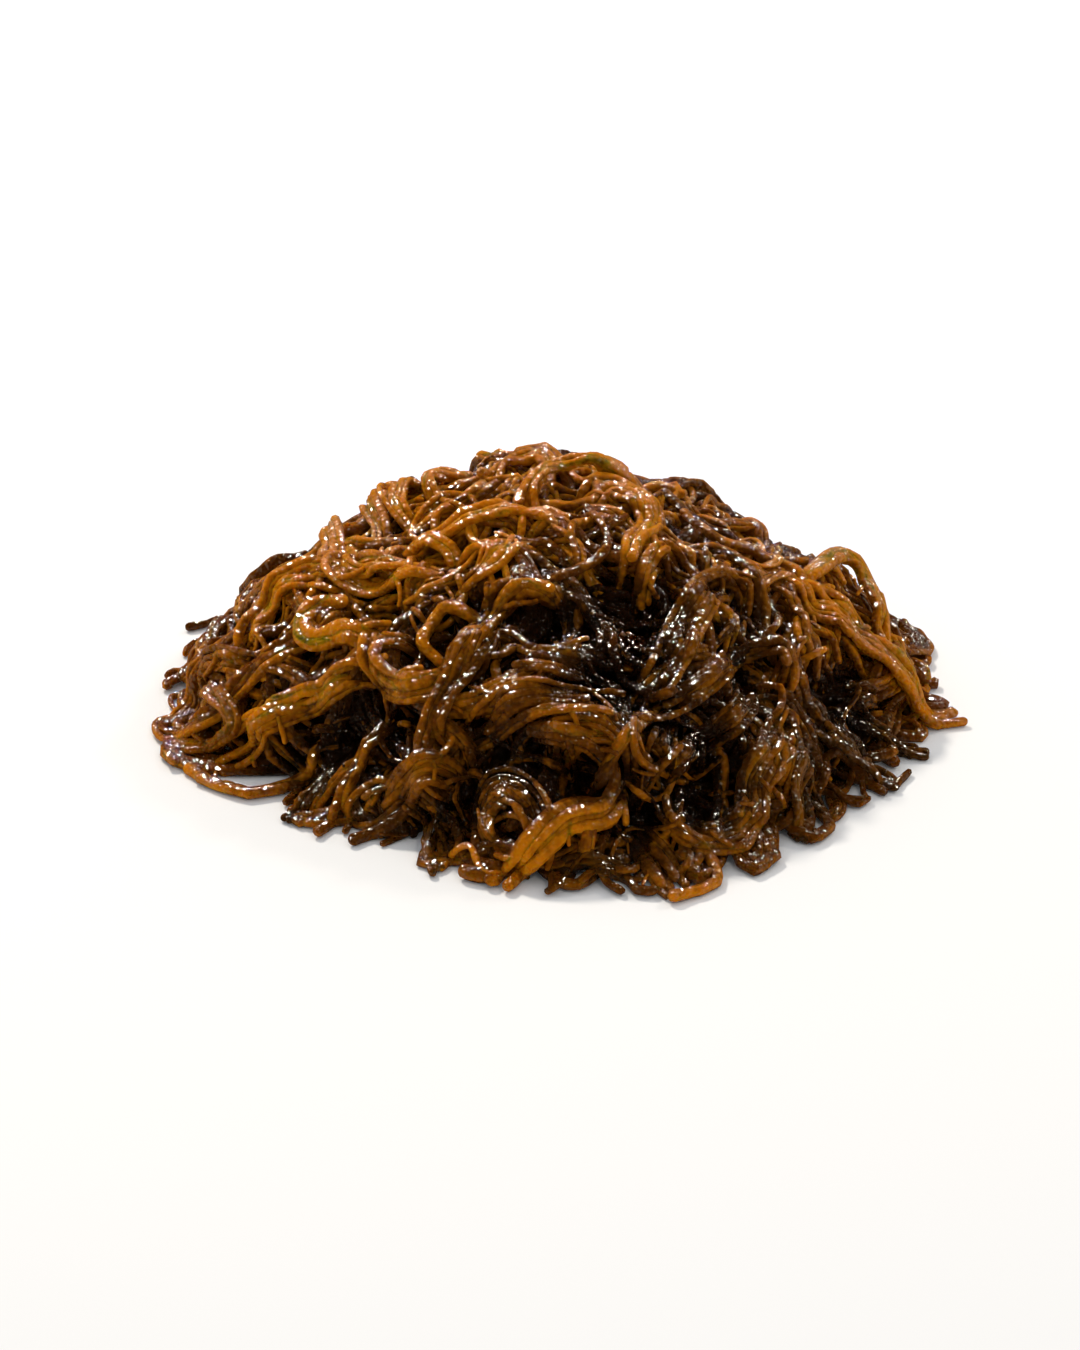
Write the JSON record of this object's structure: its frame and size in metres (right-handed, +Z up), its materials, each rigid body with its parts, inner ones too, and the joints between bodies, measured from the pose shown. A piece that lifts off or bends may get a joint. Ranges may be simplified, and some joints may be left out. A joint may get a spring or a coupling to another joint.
{
  "type": "mozuku seaweed",
  "caption": "Low rounded heap of wet, slippery mozuku seaweed: a tangled mass with looping, branching locks draped over it.",
  "frame": {"origin": "middle of the heap's outline, on the surface it rests on", "axes": "+Z up, -Y towards the front of the heap, +X to its right seen from the front"},
  "size_m": [0.1993, 0.2079, 0.0645],
  "materials": {
    "amber": "wet translucent amber strands",
    "brown": "wet olive-brown strands",
    "dark": "wet dark brown strands in the depths"
  },
  "bodies": {
    "root": {"heap_tangle": "dark", "lock_left_sweep": "amber", "lock_left_foot_loop": "amber", "lock_left_fold": "brown", "lock_left_shoulder": "amber", "lock_left_rim": "brown", "lock_left_arch": "amber", "lock_crown_left": "amber", "lock_u_loop": "amber", "lock_crown_arch": "amber", "lock_crown_fall": "amber", "lock_crown_back": "amber", "lock_crown_right": "amber", "lock_crown_drop": "amber", "lock_middle_fall": "brown", "lock_middle_column": "brown", "lock_middle_ribs": "brown", "lock_middle_bar": "brown", "lock_middle_lower": "brown", "lock_right_rope": "brown", "lock_right_hook": "brown", "lock_right_drop": "brown", "lock_right_shoulder": "amber", "lock_right_ear": "amber", "lock_front_right_bow": "brown", "lock_front_right_loop": "brown", "lock_right_fan": "dark", "lock_right_foot": "dark", "lock_right_low": "dark", "lock_front_drip": "amber", "lock_front_fan": "brown", "lock_front_foot": "dark", "lock_front_loops": "brown", "lock_front_left_arch": "brown", "lock_front_left_thread": "amber", "lock_front_left_foot": "dark", "lock_left_stems": "dark", "lock_back_left": "brown", "lock_back_middle": "amber", "lock_back_loop": "brown", "lock_back_right": "brown", "lock_back_right_rim": "amber", "lock_back_left_rim": "brown", "lock_back_foot_left": "dark", "lock_back_foot_right": "brown", "lock_right_side_foot": "brown"}
  },
  "joints": []
}
